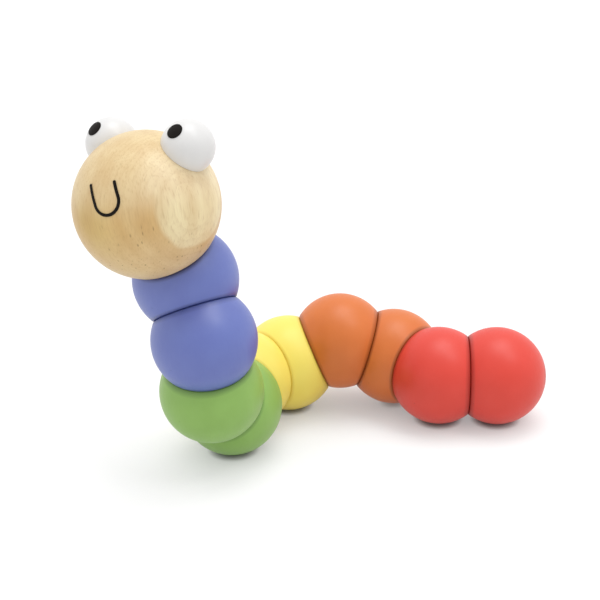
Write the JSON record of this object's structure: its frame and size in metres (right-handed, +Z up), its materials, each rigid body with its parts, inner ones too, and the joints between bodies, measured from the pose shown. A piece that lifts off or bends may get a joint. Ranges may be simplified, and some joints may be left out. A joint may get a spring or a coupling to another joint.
{
  "type": "wooden worm toy",
  "caption": "Wooden worm toy: a ball head with round eyes and a smile, and a chain of painted ball beads that swivel on slanted flats, held by an elastic cord.",
  "frame": {"origin": "middle of the outer box of the posed worm, on the floor that it stands on", "axes": "+Z up; +X level, from the rear green bead, which carries the raised neck, to the tail bead; +Y to the left of that"},
  "size_m": [0.1406, 0.071, 0.1073],
  "materials": {
    "red_paint": "satin paint on beech",
    "orange_paint": "satin paint on beech",
    "yellow_paint": "satin paint on beech",
    "green_paint": "satin paint on beech",
    "blue_paint": "satin paint on beech",
    "beech": "natural beech under satin lacquer",
    "white_lacquer": "satin white lacquer on beech",
    "black_ink": "satin black pad-printed paint",
    "elastic_cord": "woven cover over a rubber core",
    "beech_dowel": "plain sanded beech"
  },
  "bodies": {
    "green_rear": {"green_rear_bead": "green_paint", "cord_in_green_rear": "elastic_cord"},
    "green_front": {"green_front_bead": "green_paint", "cord_in_green_front": "elastic_cord"},
    "blue_rear": {"blue_rear_bead": "blue_paint", "cord_in_blue_rear": "elastic_cord"},
    "blue_front": {"blue_front_bead": "blue_paint", "cord_in_blue_front": "elastic_cord"},
    "head": {"head": "beech", "cord_in_head": "elastic_cord", "left_eye": "white_lacquer", "right_eye": "white_lacquer", "left_pupil": "black_ink", "right_pupil": "black_ink", "smile": "black_ink", "left_eye_dowel": "beech_dowel", "right_eye_dowel": "beech_dowel", "head_plug": "beech_dowel"},
    "yellow_front": {"yellow_front_bead": "yellow_paint", "cord_in_yellow_front": "elastic_cord"},
    "yellow_rear": {"yellow_rear_bead": "yellow_paint", "cord_in_yellow_rear": "elastic_cord"},
    "orange_front": {"orange_front_bead": "orange_paint", "cord_in_orange_front": "elastic_cord"},
    "orange_rear": {"orange_rear_bead": "orange_paint", "cord_in_orange_rear": "elastic_cord"},
    "red_front": {"red_front_bead": "red_paint", "cord_in_red_front": "elastic_cord"},
    "red_rear": {"red_rear_bead": "red_paint", "cord_in_red_rear": "elastic_cord", "tail_plug": "red_paint"}
  },
  "joints": [
    {"name": "green_front_swivel", "type": "hinge", "parent": "green_rear", "child": "green_front", "pos_m": [-0.03139, -0.01047, 0.02054], "axis": [-0.4132, -0.6655, 0.6216], "continuous": true},
    {"name": "blue_rear_swivel", "type": "hinge", "parent": "green_front", "child": "blue_rear", "pos_m": [-0.03603, -0.018, 0.0348], "axis": [-0.1066, -0.1799, 0.9779], "continuous": true},
    {"name": "blue_front_swivel", "type": "hinge", "parent": "blue_rear", "child": "blue_front", "pos_m": [-0.03864, -0.01533, 0.05116], "axis": [-0.186, 0.4803, 0.8571], "continuous": true},
    {"name": "head_swivel", "type": "hinge", "parent": "blue_front", "child": "head", "pos_m": [-0.04397, -0.01267, 0.06774], "axis": [-0.3747, -0.1663, 0.9121], "continuous": true},
    {"name": "yellow_front_swivel", "type": "hinge", "parent": "green_rear", "child": "yellow_front", "pos_m": [-0.02438, 0.00374, 0.015], "axis": [-0.3734, -0.9277, 0], "continuous": true},
    {"name": "yellow_rear_swivel", "type": "hinge", "parent": "yellow_front", "child": "yellow_rear", "pos_m": [-0.01322, 0.01627, 0.015], "axis": [-0.8782, -0.4783, -0.0005], "continuous": true},
    {"name": "orange_front_swivel", "type": "hinge", "parent": "yellow_rear", "child": "orange_front", "pos_m": [0.00287, 0.01974, 0.01826], "axis": [-0.9269, 0.0889, -0.3646], "continuous": true},
    {"name": "orange_rear_swivel", "type": "hinge", "parent": "orange_front", "child": "orange_rear", "pos_m": [0.01935, 0.01664, 0.01893], "axis": [-0.9214, 0.2592, 0.2894], "continuous": true},
    {"name": "red_front_swivel", "type": "hinge", "parent": "orange_rear", "child": "red_front", "pos_m": [0.0328, 0.00714, 0.01569], "axis": [-0.5874, 0.8059, 0.0742], "continuous": true},
    {"name": "red_rear_swivel", "type": "hinge", "parent": "red_front", "child": "red_rear", "pos_m": [0.04666, -0.00229, 0.01501], "axis": [-0.9677, 0.252, 0.0016], "continuous": true}
  ]
}
